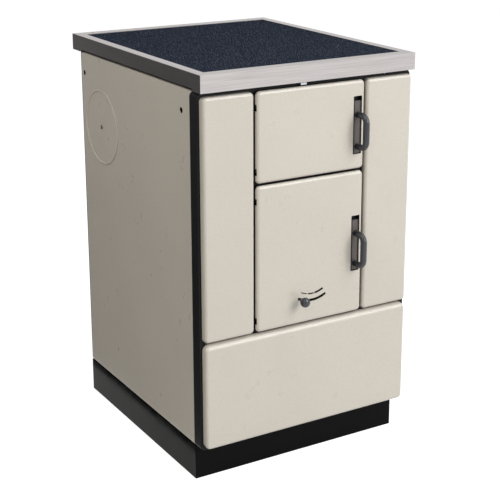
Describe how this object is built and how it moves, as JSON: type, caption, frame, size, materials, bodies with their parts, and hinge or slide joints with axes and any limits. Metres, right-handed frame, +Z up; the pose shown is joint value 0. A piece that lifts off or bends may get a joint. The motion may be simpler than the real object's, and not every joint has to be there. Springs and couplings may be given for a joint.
{
  "type": "wood cookstove",
  "caption": "Free-standing solid-fuel cooker: enamelled body, steel-framed glass hob, feed door over ash door with air regulator, and a wood drawer on rollers.",
  "frame": {"origin": "on the floor, in the middle of the overall footprint, handles included", "axes": "+Z up, the doors and the drawer face -Y, +X to the right seen from the front"},
  "size_m": [0.5, 0.633, 0.85],
  "materials": {
    "cream_enamel": "smooth semi-gloss cream enamel on pressed steel",
    "black_enamel": "satin black stove enamel",
    "gloss_black_enamel": "high-gloss black enamel",
    "brushed_stainless": "brushed stainless steel, grain along each edge",
    "glass_ceramic": "dark glass-ceramic with fine light speckles",
    "zinc_sheet": "zinc-plated sheet",
    "dark_steel": "black-oxide sheet steel",
    "latch_steel": "brown-black lacquered steel",
    "cast_iron": "raw cast iron",
    "firebrick": "matt fireclay with an open grain",
    "glass_rope": "woven glass-fibre rope and tape",
    "handle_grip": "smooth slate-black moulded grip",
    "black_plastic": "moulded nylon"
  },
  "bodies": {
    "stove_body": {"plinth": "gloss_black_enamel", "floor_tray": "zinc_sheet", "rear_panel": "zinc_sheet", "front_frame": "black_enamel", "front_clip": "zinc_sheet", "front_screw": "zinc_sheet", "top_frame": "brushed_stainless", "frame_screw_right": "dark_steel", "frame_screw_left": "dark_steel", "hob_tape": "glass_rope", "hob_glass": "glass_ceramic", "casing": "dark_steel", "shelf": "zinc_sheet", "flue_collar": "cast_iron", "bed_plate": "cast_iron", "grate": "cast_iron", "rear_brick": "firebrick", "front_brick": "firebrick", "ash_pan": "zinc_sheet", "side_panel_right": "cream_enamel", "side_panel_left": "cream_enamel", "flue_cover_right": "cream_enamel", "flue_cover_left": "cream_enamel", "cover_screw_right": "zinc_sheet", "cover_screw_left": "zinc_sheet", "front_panel_right": "cream_enamel", "front_panel_left": "cream_enamel", "flue_blank_right": "dark_steel", "flue_blank_left": "dark_steel", "side_brick_right": "firebrick", "side_brick_left": "firebrick", "drawer_rail_right": "zinc_sheet", "drawer_rail_left": "zinc_sheet", "rail_roller_right": "black_plastic", "rail_roller_left": "black_plastic", "feed_hinge_lower": "zinc_sheet", "feed_hinge_upper": "zinc_sheet", "ash_hinge_lower": "zinc_sheet", "ash_hinge_upper": "zinc_sheet"},
    "feed_door": {"feed_door_panel": "cream_enamel", "feed_door_plate": "zinc_sheet", "feed_door_seal": "glass_rope", "feed_door_liner": "cast_iron", "feed_latch_guide": "zinc_sheet"},
    "feed_latch": {"feed_latch_plate": "latch_steel", "feed_handle": "handle_grip"},
    "ash_door": {"ash_door_panel": "cream_enamel", "ash_door_plate": "zinc_sheet", "ash_door_seal": "glass_rope", "ash_door_liner": "cast_iron", "ash_latch_guide": "zinc_sheet", "air_rivet": "zinc_sheet"},
    "ash_latch": {"ash_latch_plate": "latch_steel", "ash_handle": "handle_grip"},
    "air_regulator": {"air_shutter": "dark_steel", "air_knob": "handle_grip"},
    "drawer": {"drawer_front": "cream_enamel", "drawer_box": "zinc_sheet", "box_roller_right": "black_plastic", "box_roller_left": "black_plastic"}
  },
  "joints": [
    {"name": "feed_door_hinge", "type": "hinge", "parent": "stove_body", "child": "feed_door", "pos_m": [-0.121, -0.2765, 0.71425], "axis": [0, 0, -1], "range_deg": [0, 110]},
    {"name": "ash_door_hinge", "type": "hinge", "parent": "stove_body", "child": "ash_door", "pos_m": [-0.121, -0.2765, 0.465], "axis": [0, 0, -1], "range_deg": [0, 110]},
    {"name": "feed_latch_lift", "type": "slide", "parent": "feed_door", "child": "feed_latch", "axis": [0, 0, 1], "range_m": [0, 0.01]},
    {"name": "ash_latch_lift", "type": "slide", "parent": "ash_door", "child": "ash_latch", "axis": [0, 0, 1], "range_m": [0, 0.01]},
    {"name": "air_regulator_pivot", "type": "hinge", "parent": "ash_door", "child": "air_regulator", "pos_m": [0.004, -0.27225, 0.428], "axis": [0, -1, 0], "range_deg": [0, 52]},
    {"name": "drawer_slide", "type": "slide", "parent": "stove_body", "child": "drawer", "axis": [0, -1, 0], "range_m": [0, 0.38]}
  ]
}
